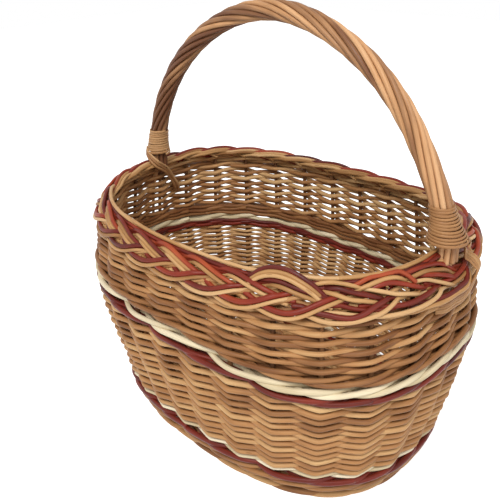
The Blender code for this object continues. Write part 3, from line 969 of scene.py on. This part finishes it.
def over_rods(leg):
    """The rods of a strand where it lies on top: place in the strand and colour."""
    if front_over_legs[0] <= leg <= front_over_legs[1]:
        return front_over_rods
    if back_over_legs[0] <= leg <= back_over_legs[1]:
        return back_over_rods
    return end_over_rods


def over_leg(add, leg, random):
    """A strand on top: it comes up by the inner edge, runs outwards and dives under the edge."""
    for position, colour in over_rods(leg):
        comes_up = over_rise_place + over_rise_stagger * position
        dives = over_dive_place - over_dive_stagger * position
        place = np.linspace(comes_up - over_hidden_start, dives + over_hidden_end, leg_points)
        part = (place - comes_up) / (dives - comes_up)
        shift = position * rod_place_gap + wander(leg_points, *strand_drift, random)
        add(leg, colour, place, through_knots(over_knots, place), shift,
            through_knots(over_lift_knots, part))


def edge_leg(add, leg, random):
    """The strand along the outer edge, as a scallop of a red and a buff rod."""
    droop = droop_shares.get(leg, 1) - 1
    for position, colour in edge_rods:
        place = np.linspace(edge_start, edge_end, leg_points)
        hang = droop * np.exp(-((place - droop_place) / droop_length) ** 2)
        across = through_knots(edge_knots, place) * (1 + hang)
        lift = through_knots(edge_lift_knots, place - edge_lift_stagger * position)
        shift = position * rod_place_gap * (1 + droop_spread_share * hang)
        add(leg, colour, place, across, shift + wander(leg_points, *strand_drift, random), lift)


def inner_leg(add, leg, random):
    """A long rod along the inner edge, and two that show between the strands beside it."""
    place = np.linspace(inner_knots[0][0], inner_knots[-1][0], leg_points)
    across = through_knots(inner_knots, place)
    lift = through_knots(inner_lift_knots, place)
    for colour, inset, sunk in inner_rods:
        shift = inset + wander(leg_points, *inner_drift, random)
        add(leg, colour, place, across, shift, lift - sunk)


def back_leg(add, leg, random):
    """A strand that laps over the inner edge at the back: a red rod with two buff ones inside it."""
    place = np.linspace(back_knots[0][0], back_knots[-1][0], leg_points)
    across = through_knots(back_knots, place)
    lift = through_knots(back_lift_knots, place)
    tuck = np.clip((place - back_tuck_start) / (place[-1] - back_tuck_start), 0, 1)
    drop = back_rod_drop * (1 - back_tuck_share * tuck)
    for position, colour in enumerate(back_rods):
        shift = wander(leg_points, *strand_drift, random) - back_rod_inset * position
        add(leg, colour, place, across, shift, lift - drop * position)


def loop_leg(add, leg):
    """A strand that loops high over the inner edge."""
    for position, colour, later in loop_rods:
        place = np.linspace(loop_knots[0][0] + later, loop_end, leg_points)
        across = through_knots(loop_knots, place)
        lift = through_knots(loop_lift_knots, place)
        add(leg, colour, place, across, position * rod_place_gap, lift)


def traced_leg(add, kind, colour, knots):
    """A rod of the drawn-out right end, with its own way; a rod of the ended kind stops in sight."""
    first, last = knots[0][0], knots[-1][0]
    end = last if kind == "ended" else last + traced_overrun
    place = np.linspace(first - traced_overrun, end, leg_points)
    across = through_knots(knots, place)
    lift = through_knots(traced_lift_knots[kind], (place - first) / (last - first))
    add(0, colour, place - dive_place(0), across, 0, lift)


def make_border(finish):
    """Each rod is made in legs, whose ends lie hidden under the next strands."""
    buff = Rods("border_buff_rods", seed=21)
    red = Rods("border_red_rods", seed=22, shade=border_red_shade)
    sorts = {
        "buff": (buff, buff_rod_radius),
        "red": (red, red_rod_radius),
        "edge_red": (red, edge_red_radius),
    }
    random = random_source(23)

    def add(leg, colour, place, across_share, shift, lift):
        share = (dive_place(leg) + place) / stake_count
        points, above = border_place(share, plait_reach * across_share + shift, plait_lift * lift)
        rods, radius = sorts[colour]
        rods.add(points, radius * about_one(border_uneven_share, random), above)

    for leg in range(stake_count):
        if leg < right_end_leg:
            over_leg(add, leg, random)
            edge_leg(add, leg, random)
        if back_legs[0] <= leg <= back_legs[1]:
            back_leg(add, leg, random)
        elif leg % 2 == 1:
            inner_leg(add, leg, random)
    loop_leg(add, loop_leg_number)
    for kind, colour, knots in right_end_rods:
        traced_leg(add, kind, colour, knots)
    buff.build(finish["border"], "buff_willow", "border_strand_1", "border_strand_3")
    red.build(finish["red"], "red_willow", "border_strand_2")


# The handle


def splay(side, height):
    """How far the handle's foot leans out."""
    most = np.where(side > 0, handle_splay_right, -handle_splay_left)
    above = np.clip((height - handle_foot_height) / handle_splay_height, 0, 1)
    return most * (1 - above) ** handle_splay_power


def handle_line(share):
    """The handle's middle line from the left foot at 0 to the right foot at 1."""
    angle = math.pi * (1 - share)
    power = 2 / handle_squareness
    x = handle_half_span * signed_power(np.cos(angle), power)
    z = handle_foot_height + handle_rise * np.abs(np.sin(angle)) ** power
    x = x + splay(np.sign(x), z)
    return np.stack([x, np.zeros_like(x), z], axis=-1)


def even_handle(count):
    """Points evenly along the handle."""
    fine = handle_line(np.linspace(0, 1, handle_fine_points))
    run = run_along(fine)
    wanted = np.linspace(0, run[-1], count)
    return np.stack([np.interp(wanted, run, fine[:, axis]) for axis in range(3)], axis=-1)


def eased_part():
    """The part of the handle's twist that is reached along it; the twist eases at the right foot."""
    part = np.linspace(0, 1, handle_points)
    eased = np.maximum(part - handle_twist_ease_share, 0) ** 2 / (1 - handle_twist_ease_share)
    return part - 0.5 * eased


def handle_tone(count, random):
    """A rod's tone, with painted shade that makes it darker towards the left foot."""
    before = handle_painted_shade_until_share - np.linspace(0, 1, count)
    darker = np.clip(before / handle_painted_shade_length_share, 0, 1) ** handle_painted_shade_power
    return random.uniform(*handle_tones) - handle_painted_shade * darker


def make_handle_rods(finish, middle):
    """The rods that wind round the core, with straight feet that run down into the border."""
    rods = Rods("handle_rods", seed=31)
    outwards = np.cross(unit(np.gradient(middle, axis=0)), across_handle)
    foot = np.outer(np.linspace(handle_foot_length, 0, handle_foot_points)[:-1], upwards)
    for index in range(handle_rod_count):
        turn = 2 * math.pi * index / handle_rod_count + handle_twist * eased_part()
        offset = outwards * np.cos(turn)[:, None] + across_handle * np.sin(turn)[:, None]
        ring = handle_ring_radius * (1 + wander(handle_points, *handle_ring_swell, rods.random))
        points = middle + offset * ring[:, None]
        points = np.concatenate([points[0] - foot, points, points[-1] - foot[::-1]])
        same = np.ones_like(foot)
        reference = np.concatenate([same * offset[0], offset, same * offset[-1]])
        radius = handle_rod_radius * (1 + wander(len(points), *handle_rod_swell, rods.random))
        tone = handle_tone(len(points), rods.random)
        rods.add(points, radius, reference, tone=tone)
    rods.build(finish["handle"], "handle_willow", *numbered("handle_rod_%d", handle_rod_count))


def make_handle_core(finish, middle):
    """The bow under the rods, whose ends run down inside the wall."""
    rods = Rods("handle_core_bow", seed=32)
    points = np.concatenate([wall(*core_left_foot)[0], middle, wall(*core_right_foot)[0]])
    thick = np.full(handle_points, handle_core_radius)
    radius = np.concatenate([core_end_radii, thick, core_end_radii[::-1]])
    rods.add(points, radius, across_handle)
    rods.build(finish["handle"], "handle_willow", "handle_core")


def make_handle(finish):
    middle = even_handle(handle_points)
    make_handle_rods(finish, middle)
    make_handle_core(finish, middle)


def foot_centre(side, height):
    """The handle's middle at heights above its foot, on one side."""
    power = 2 / handle_squareness
    rise = np.clip((height - handle_foot_height) / handle_rise, 0, 1)
    sine = rise ** (1 / power)
    x = side * handle_half_span * np.sqrt(1 - sine ** 2) ** power + splay(side, height)
    return np.stack([x, np.zeros_like(x), height], axis=-1)


def make_binding(finish, label, side, turns, pitch, flare, seed):
    """Split willow wound round the handle's foot, wider towards the border."""
    rods = Rods("binding_" + label, seed)
    count = round(turns * binding_points_per_turn)
    wobbles = round(turns * binding_wobbles_per_turn)
    sways = round(turns * binding_sways_per_turn)
    part = np.linspace(0, 1, count)
    turn = 2 * math.pi * turns * part
    height = binding_start_height + pitch * turns * part
    inner = handle_ring_radius + handle_rod_radius + skein_half_thickness
    radius = inner + flare * (1 - part) ** 2 + wander(count, binding_wobble, wobbles, rods.random)
    away = np.stack([np.cos(turn), np.sin(turn), np.zeros(count)], -1)
    points = foot_centre(side, height) + away * radius[:, None]
    points[:, 2] += wander(count, binding_sway, sways, rods.random)
    flat = skein_half_thickness / skein_half_width
    rods.add(points, skein_half_width, away, flat=flat)
    rods.build(finish["split"], "split_willow", "handle_binding_" + label)


def foot_stop(side, place, facing):
    """A place by the handle's foot that a lashing runs over, with the direction that it faces."""
    foot = foot_centre(side, np.array([binding_start_height]))[0]
    return foot + np.array(place), np.array(facing)


def border_stop(share, lateral, lift):
    """A place on the border that a lashing runs over, with the direction that it faces."""
    share = np.array([share])
    place = border_place(share, np.array([lateral]), np.array([lift]))[0]
    across, above = plait_directions(angle_at(share))
    return place[0], unit(across * lateral * lashing_tilt_share + above * lift)[0]


def wall_stop(share, height, offset):
    """A place on the wall that a lashing runs over, with the direction that it faces."""
    place, away = wall(share, height, offset)
    return place, away * math.copysign(1, offset)


def make_lashing(finish, label, side, count, foot_stops, border_stops, wall_stops, seed):
    """Flat skeins side by side, from the handle's foot over the border to the wall."""
    stops = [foot_stop(side, *stop) for stop in foot_stops]
    stops += [border_stop(*stop) for stop in border_stops]
    stops += [wall_stop(*stop) for stop in wall_stops]
    middle = through_points(np.array([place for place, facing in stops]), lashing_points)
    facing = unit(through_points(np.array([facing for place, facing in stops]), lashing_points))
    across = unit(np.cross(np.gradient(middle, axis=0), facing))
    rods = Rods("lashing_%s_skeins" % label, seed)
    for index in range(count):
        offset = (index - (count - 1) / 2) * lashing_spacing
        shift = offset + wander(lashing_points, *lashing_drift, rods.random)
        points = middle + across * shift[:, None] + facing * (lashing_step * (index % 2))
        rods.add(points, lashing_spacing * lashing_radius_share, facing, flat=lashing_flat_share)
    rods.build(finish["split"], "split_willow", "lashing_" + label)


def make_feet(finish):
    """The bindings and the lashings."""
    make_binding(finish, "right", *right_binding, seed=41)
    make_binding(finish, "left", *left_binding, seed=42)
    make_lashing(finish, "right", 1, right_skeins, right_foot_stops, right_border_stops,
                 right_wall_stops, seed=51)
    make_lashing(finish, "left", -1, left_skeins, left_foot_stops, (), left_wall_stops, seed=52)


# The base


def make_base_weave(finish, half_length, half_width):
    """Pairs of rods in rings, from the wall to the middle, that cross as they go round."""
    rods = Rods("base_rods", seed=61)
    spacing = (half_width - base_middle_gap) / base_rings
    steps = base_crossings * base_points_per_crossing
    for ring in range(base_rings):
        length = half_length - ring * spacing
        width = half_width - ring * spacing
        for rod in (0, 1):
            angle = np.linspace(0, 2 * math.pi, steps + 1) + rods.random.uniform(0, base_turn_spread)
            phase = angle * base_crossings / 2 + rod * math.pi
            points = oval(angle, length - spacing / 2, width - spacing / 2)
            points[:, 2] = base_height + base_wave * np.cos(phase)
            points += outward(angle, length, width) * (base_sway * np.sin(phase))[:, None]
            radius = base_rod_radius * about_one(base_uneven_share, rods.random)
            rods.add(points, radius, upwards, base_rod_sides)
    rods.build(finish["buff"], "buff_willow", "base_weave")


def add_stick(rods, start, end, radius):
    rods.add(np.linspace(start, end, stick_points), radius, upwards, weave_rod_sides)


def make_base_sticks(finish, half_length, half_width):
    """Cross sticks with two long sticks between them."""
    rods = Rods("base_sticks", seed=62)
    for index in range(cross_stick_count):
        x = cross_stick_spacing * (index - 1)
        width_share = (1 - (abs(x) / half_length) ** squareness) ** (1 / squareness)
        reach = half_width * width_share - stick_end_gap
        add_stick(rods, (x, -reach, base_height), (x, reach, base_height), cross_stick_radius)
    reach = half_length - stick_end_gap
    for index in range(long_stick_count):
        y = long_stick_spacing * (index - 0.5)
        add_stick(rods, (-reach, y, base_height), (reach, y, base_height), long_stick_radius)
    nodes = numbered("base_cross_stick_%d", cross_stick_count)
    nodes += numbered("base_long_stick_%d", long_stick_count)
    rods.build(finish["stake"], "stake_willow", *nodes)


def make_base(finish):
    inset = stake_radius - base_clearance
    half_length = level_half_lengths[0] - inset
    half_width = level_half_widths[0] - inset
    make_base_weave(finish, half_length, half_width)
    make_base_sticks(finish, half_length, half_width)


# Camera, lights and surroundings


def make_camera():
    back = np.array([math.sin(camera_azimuth) * math.cos(camera_elevation),
                     -math.cos(camera_azimuth) * math.cos(camera_elevation),
                     math.sin(camera_elevation)])
    right = unit(np.cross(-back, upwards))
    up = np.cross(right, -back)
    turned_right = right * math.cos(camera_roll) + up * math.sin(camera_roll)
    turned_up = up * math.cos(camera_roll) - right * math.sin(camera_roll)
    place = upwards * camera_height + right * camera_sidestep + back * camera_distance
    data = bpy.data.cameras.new("camera")
    data.sensor_width = sensor_width
    data.lens = focal_pixels / photo_size * sensor_width
    data.clip_start = camera_nearest
    camera = bpy.data.objects.new("camera", data)
    turned = np.identity(4)
    turned[:3] = np.stack([turned_right, turned_up, back, place], axis=1)
    camera.matrix_world = Matrix(turned.tolist())
    bpy.context.scene.collection.objects.link(camera)
    bpy.context.scene.camera = camera


def area_light(name, place, size, power):
    data = bpy.data.lights.new(name, "AREA")
    data.shape = "DISK"
    data.size = size
    data.energy = power
    lamp = bpy.data.objects.new(name, data)
    lamp.location = place
    lamp.rotation_euler = (Vector(light_target) - Vector(place)).to_track_quat("-Z", "Y").to_euler()
    bpy.context.scene.collection.objects.link(lamp)


def seen_factor(tree):
    """One for rays that show the surroundings: from the camera, in gloss or through glass."""
    path = node(tree, "ShaderNodeLightPath")
    seen = maths(tree, "MAXIMUM", path.outputs["Is Camera Ray"], path.outputs["Is Glossy Ray"])
    return maths(tree, "MAXIMUM", seen, path.outputs["Is Transmission Ray"])


def make_world():
    """A white background, which lights the basket less than it shows."""
    world = bpy.data.worlds.new("surroundings")
    bpy.context.scene.world = world
    world.use_nodes = True
    tree = world.node_tree
    background = tree.nodes["Background"]
    background.inputs["Color"].default_value = white
    strength = maths(tree, "MULTIPLY_ADD", seen_factor(tree), world_seen_extra, world_light)
    tree.links.new(strength, background.inputs["Strength"])


def make_floor():
    """A floor that looks white, with a soft shadow."""
    mesh = bpy.data.meshes.new("floor")
    edge = floor_half_size
    corners = [(-edge, -edge, 0), (edge, -edge, 0), (edge, edge, 0), (-edge, edge, 0)]
    mesh.from_pydata(corners, [], [(0, 1, 2, 3)])
    floor = bpy.data.objects.new("floor", mesh)
    bpy.context.scene.collection.objects.link(floor)
    finish = bpy.data.materials.new("floor_white")
    finish.use_nodes = True
    tree = finish.node_tree
    shader = tree.nodes["Principled BSDF"]
    shader.inputs["Base Color"].default_value = floor_colour
    shader.inputs["Roughness"].default_value = floor_roughness
    shader.inputs["Emission Color"].default_value = white
    glow = maths(tree, "MULTIPLY", seen_factor(tree), floor_seen_glow)
    tree.links.new(glow, shader.inputs["Emission Strength"])
    floor.data.materials.append(finish)


def make_basket(finish):
    for make in (make_stakes, make_upsett, make_lower_band, make_lower_siding, make_upper_band,
                 make_upper_siding, make_border, make_handle, make_feet, make_base):
        make(finish)


def main():
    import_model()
    bpy.context.scene.view_settings.view_transform = "Standard"
    make_camera()
    make_world()
    area_light("key_light", *key_light)
    area_light("fill_light", *fill_light)
    make_floor()
    make_basket(make_finishes())


main()
